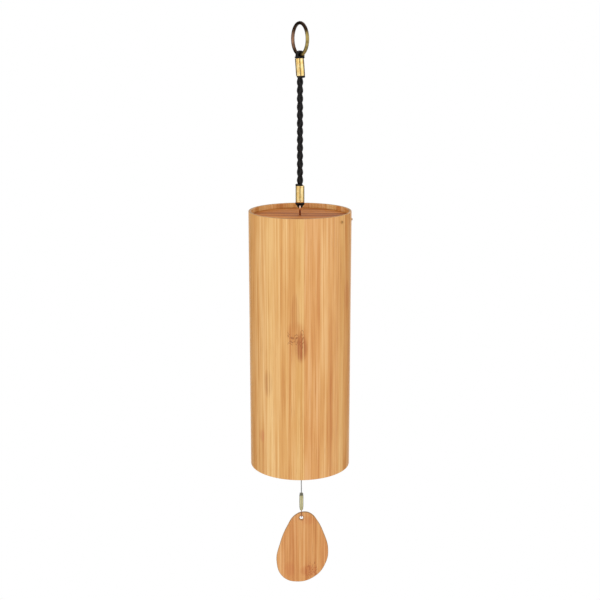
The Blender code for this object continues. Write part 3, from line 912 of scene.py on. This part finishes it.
def make_insides(brass, copper, steel, plate, solder, felt_look):
    drilled("felt", felt_look, "felt_washer", BORE_R, 64, 0.0004)
    drilled("plate", plate, "sound_plate", BORE_R, 128, 0.0004)
    nut_middle = (top("coupling_nut") + low("coupling_nut")) / 2
    make_eye("upper_eye", "top_eye", copper, nut_middle + GAP)
    make_eye("clapper_eye", "lower_eye", brass, nut_middle - GAP)
    make_nut(brass)
    for number in range(1, 9):
        node = f"tone_rod_{number}"
        radius, length = half_width(node), top(node) - low(node)
        profile = [(0, 0), (radius, 0), (radius, -length), (0, -length)]
        turned(f"rod_{number}", profile, steel, node, 32, ease=0.0004)
        node = f"solder_{number}"
        radius, height = half_width(node), top(node) - low(node)
        bore = SOLDER_BORE_R
        fillet = [(radius, 0), (radius * 0.78, -height * 0.28), (bore + 0.0004, -height * 0.75),
                  (bore + 0.0001, -height), (bore, -height), (bore, 0)]  # fmt: skip
        turned(f"solder_ring_{number}", fillet, solder, node, 32, True, 0.0002)


def make_nut(brass):
    """A long hexagonal nut, its corners chamfered on the lathe."""
    high = top("coupling_nut")
    length, chamfer = high - low("coupling_nut"), 0.0004
    corner = NUT_FLATS_R / math.cos(math.radians(30))
    shape = bmesh.new()
    rings = []
    for fall, reach in ((0, 0.93), (chamfer, 1.0), (length - chamfer, 1.0), (length, 0.93)):
        ring = []
        for a in steps_round(48):
            flat = NUT_FLATS_R / math.cos((a + math.pi / 6) % (math.pi / 3) - math.pi / 6)
            out = Vector((math.cos(a), math.sin(a), 0)) * min(flat, corner * reach)
            ring.append(out + UP * (high - fall))
        rings.append(ring)
    for fall in (length, 0):
        rings.append([Vector((BORE_R * math.cos(a), BORE_R * math.sin(a), high - fall))
                      for a in steps_round(48)])  # fmt: skip
    rings = [[shape.verts.new(point) for point in ring] for ring in rings]
    for a, b in zip(rings, rings[1:] + rings[:1]):
        for i in range(48):
            j = (i + 1) % 48
            shape.faces.new((a[i], a[j], b[j], b[i]))
    show("long_nut", finish_mesh("long_nut", shape, sharp=25), brass, "coupling_nut")


def make_knot(look):
    """A trefoil of thread, pulled tight."""
    middle = centre("loop_knot")
    size = half_width("loop_knot") - KNOT_THREAD_R
    points = []
    for a in steps_round(72):
        spread = size * (0.42 + 0.30 * math.cos(3 * a)) / 0.72
        rise = size * 0.62 * math.sin(3 * a)
        points.append(middle + Vector((spread * math.cos(2 * a), spread * math.sin(2 * a), rise)))
    show_strand("thread_knot", points, KNOT_THREAD_R, 10, look, "loop_knot", closed=True)


def make_clapper(grey, brass, wood):
    make_knot(grey)
    lowest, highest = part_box("clapper_loop")
    side, crest, foot = (highest.x - lowest.x) / 2 - THREAD_R, highest.z - THREAD_R, lowest.z + 0.0001
    wire = low("lower_eye") + EYE_WIRE_R
    half = [
        Vector((-0.00045, 0, foot)), Vector((-0.00050, 0, foot + 0.0013)),
        Vector((-side * 0.98, 0, wire - 0.0003)), Vector((-side * 0.74, 0, wire + (crest - wire) * 0.72)),
    ]  # fmt: skip
    other = [Vector((-point.x, 0, point.z)) for point in reversed(half)]
    route = smooth_route([*half, Vector((0, 0, crest)), *other], 6)
    show_thread("clapper_thread_loop", route, grey, "clapper_loop")
    ends = [Vector((0, 0, top("clapper_thread"))), Vector((0, 0, low("clapper_thread")))]
    show_thread("clapper_line", ends, grey, "clapper_thread")
    for name, node in (("bead_above", "upper_bead"), ("bead_below", "lower_bead")):
        radius = half_width(node)
        start = math.asin(CLAPPER_BORE_R / radius)
        arc = [start + (math.pi - 2 * start) * i / 16 for i in range(17)]
        profile = [(radius * math.sin(a), radius * math.cos(a)) for a in arc]
        turned(name, profile, brass, node, 32, closed=True, place=centre(node))
    drilled("striker", wood, "clapper", CLAPPER_BORE_R, 96, 0.0012)


# ------------------------------------------------------------------ the sail and what it hangs on

# The sail's outline, as x and z in millimetres from its hole, as the CAD model has it
SAIL_OUTLINE = (
    (1.6, 4.2), (6.2, 3.0), (10.4, -1.9), (14.6, -10.6), (17.6, -22.3), (15.9, -32.4),
    (8.8, -41.8), (-2.8, -45.6), (-12.1, -42.2), (-16.3, -31.5), (-14.0, -18.0), (-9.5, -6.2), (-4.2, 1.9),
)  # fmt: skip
SAIL_HOLE_R = 0.00115
SAIL_EASE = 0.0006
SAIL_STRIP = 0.0026
SAIL_LOOP_R = 0.00025
# Its strips from left to right: how dark, how warm, and the height of a growth ring above its hole
SAIL_STRIPS = (
    (0.50, 0.60, None), (0.40, 0.60, None), (0.56, 0.70, None), (0.48, 0.60, None), (0.62, 0.75, None),
    (0.56, 0.70, None), (0.48, 0.50, None), (0.42, 0.55, None), (0.52, 0.60, -0.0385), (0.44, 0.55, -0.0375),
    (0.50, 0.40, -0.0380), (0.54, 0.45, None), (0.48, 0.70, None), (0.58, 0.90, None),
)  # fmt: skip


def joint_place(name):
    return Vector(next(joint["pos_m"] for joint in frame["joints"] if joint["name"] == name))


def sail_mesh():
    """A flat plate with rounded edges and a drilled hole, cut along the edges of its strips."""
    curve = bpy.data.curves.new("sail_outline", "CURVE")
    curve.dimensions = "2D"
    curve.fill_mode = "BOTH"
    curve.bevel_depth = SAIL_EASE
    curve.bevel_resolution = 3
    curve.offset = -SAIL_EASE
    curve.extrude = half_width("wind_sail") - SAIL_EASE
    curve.resolution_u = 12
    spline = curve.splines.new("BEZIER")
    spline.bezier_points.add(len(SAIL_OUTLINE) - 1)
    spline.use_cyclic_u = True
    for point, (x, z) in zip(spline.bezier_points, SAIL_OUTLINE):
        point.co = (x / 1000, z / 1000, 0)
        point.handle_left_type = point.handle_right_type = "AUTO"
    hole = curve.splines.new("POLY")
    hole.points.add(31)
    hole.use_cyclic_u = True
    for i, point in enumerate(hole.points):
        angle = -2 * math.pi * i / 32
        point.co = (SAIL_HOLE_R * math.cos(angle), SAIL_HOLE_R * math.sin(angle), 0, 1)
    outline = bpy.data.objects.new("sail_outline", curve)
    bpy.context.scene.collection.objects.link(outline)
    bpy.context.view_layer.update()
    flat = bpy.data.meshes.new_from_object(outline.evaluated_get(bpy.context.evaluated_depsgraph_get()))
    bpy.data.objects.remove(outline)
    shape = bmesh.new()
    shape.from_mesh(flat)
    bmesh.ops.remove_doubles(shape, verts=shape.verts, dist=1e-6)
    bmesh.ops.rotate(shape, verts=shape.verts, matrix=Matrix.Rotation(math.radians(90), 3, "X"))
    for number in range(1, len(SAIL_STRIPS)):
        cut = Vector(((number - len(SAIL_STRIPS) / 2) * SAIL_STRIP, 0, 0))
        everything = [*shape.verts, *shape.edges, *shape.faces]
        bmesh.ops.bisect_plane(shape, geom=everything, plane_co=cut, plane_no=(1, 0, 0))
    return finish_mesh("sail", shape, sharp=30)


def make_sail(skin, edge, brown, grey, olive):
    hole = joint_place("sail_rock")
    mesh = sail_mesh()
    marks = [(tone, warmth, hole.z + ring if ring else hole.z - 1, 0.013 * i)
             for i, (tone, warmth, ring) in enumerate(SAIL_STRIPS)]  # fmt: skip
    last = len(marks) - 1

    def strip_of(point):
        return min(last, max(0, math.floor(point.x / SAIL_STRIP + len(marks) / 2)))

    mark_strips(mesh, marks, strip_of)
    mesh.transform(Matrix.Translation(hole))
    show("sail", mesh, skin, "wind_sail")
    mesh.materials.append(edge)
    for face in mesh.polygons:
        face.material_index = int(abs(face.normal.y) < 0.85)

    line = [Vector((0, 0, top("sail_thread"))), Vector((hole.x, 0, low("sail_thread")))]
    thread = show_thread("sail_line", line, grey, "sail_thread")
    make_crimp(olive)
    make_sail_loop(brown, hole)


def make_crimp(olive):
    radius, length, tip, cap = 0.0013, 0.0119, 0.0006, 0.0013
    taper = [(tip + (radius - tip) * math.cos(a), -length * (0.68 + 0.32 * math.sin(a)))
             for a in (math.radians(step) for step in range(0, 91, 10))]  # fmt: skip
    profile = [(0, 0), (radius * 0.85, 0), (radius * 0.95, -cap), (radius * 0.9, -cap - 0.0001),
               (radius, -cap - 0.0003), *taper, (0, -length)]  # fmt: skip
    turned("crimp", profile, olive, "sail_crimp", 32, ease=0.00008)


def make_sail_loop(brown, hole):
    """A thin thread through the sail's hole, its two ends held in the crimp."""
    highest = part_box("sail_loop")[1]
    clear = highest.y - SAIL_LOOP_R
    bearing = hole.z + SAIL_HOLE_R - GAP - SAIL_LOOP_R
    half = [
        Vector((0, -0.0004, highest.z)), Vector((0, -clear, hole.z + 0.0044)),
        Vector((0, -clear - 0.00010, hole.z + 0.0030)), Vector((0, -clear, bearing + 0.0004)),
        Vector((0, -clear * 0.6, bearing + 0.00005)),
    ]  # fmt: skip
    other = [Vector((0, -point.y, point.z)) for point in reversed(half)]
    across = Vector((hole.x, 0, 0))
    route = [point + across for point in smooth_route([*half, Vector((0, 0, bearing)), *other], 5)]
    show_strand("sail_thread_loop", route, SAIL_LOOP_R, 10, brown, "sail_loop")


# ------------------------------------------------------------------ all of it

make_camera()
make_studio()
BLACK = yarn("black_cord", ("#040304", "#1C1919"), 0.0016, 3, roughness=0.42, specular=0.22)
BRASS = metal("brass", ("#FBE0A0", "#F0C87C", "#C8924A"), 0.13, marks=0.000006, tarnish=0.12)
make_hanger(BLACK, BRASS)
GREY = yarn("grey_thread", ("#6F7371", "#A3A7A4"), 0.0008, 1, roughness=0.7, depth=0.00002)
TUBE_STAINS = (
    ("#C27630", 0.55, (-0.0020, -0.1795), (0.0072, 0.0085)),
    ("#A9561A", 0.85, (0.0008, -0.1885), (0.0046, 0.0105)),
    ("#BC7430", 0.60, (-0.0030, -0.1670), (0.0030, 0.0140)),
    ("#AD6C2C", 0.60, (-0.0196, -0.2130), (0.0034, 0.0105)),
    ("#C86E3E", 0.45, (-0.0235, -0.2480), (0.0022, 0.0050)),
    ("#BE7038", 0.55, (0.0285, -0.1600), (0.0022, 0.0110)),
)
SAIL_STAINS = (
    ("#96481A", 1.00, (0.0009, -0.3125), (0.0025, 0.0025)),
    ("#BC6428", 0.55, (0.0062, -0.3500), (0.0078, 0.0050)),
    ("#C46A34", 0.40, (-0.0070, -0.3490), (0.0040, 0.0070)),
    ("#C46A34", 0.35, (0.0050, -0.3140), (0.0060, 0.0040)),
)
TUBE_YELLOWS, TUBE_PINKS = ("#F0C682", "#DEA95E", "#C68133"), ("#E8B27C", "#D99751", "#BC6E2A")
SAIL_YELLOWS, SAIL_PINKS = ("#EDBD79", "#D89B54", "#BE7530"), ("#E5AA74", "#D48D4C", "#B4652A")
TUBE_LOOK = bamboo("bamboo", TUBE_YELLOWS, TUBE_PINKS, "#7A3E14", TUBE_STAINS)
SAIL_LOOK = bamboo("sail_bamboo", SAIL_YELLOWS, SAIL_PINKS, "#A65C24", SAIL_STAINS)
EDGE = end_grain("bamboo_edge")
OLIVE = olive_brass("olive_brass")
BROWN = yarn("brown_thread", ("#6A3418", "#A86A3C"), 0.0006, 2, roughness=0.7, depth=0.00002)
make_sail(SAIL_LOOK, EDGE, BROWN, GREY, OLIVE)
make_ring(bronze("bronze"))
make_tube(TUBE_LOOK, EDGE)
drilled("ply_disc", ply("bamboo_ply"), "top_disc", BORE_R, 144, 0.0002)
make_nails(metal("nail_brass", ("#D6A868", "#B98550", "#6E4A2C"), 0.3, tarnish=0.5))
STEEL = metal("rod_steel", ("#C9CACC", "#A9ABAE", "#7C7E82"), 0.26, scratch=(2600, 2600, 40), tarnish=0.2)
SOLDER = metal("solder", ("#D8D8D4", "#B9B9B6", "#8E8C86"), 0.34, grain=(900, 900, 900), tarnish=0.4)
make_insides(BRASS, eye_wire("eye_wire"), STEEL, turned_steel("plate_steel"), SOLDER, felt("felt"))
make_clapper(GREY, BRASS, turned_wood("clapper_wood"))
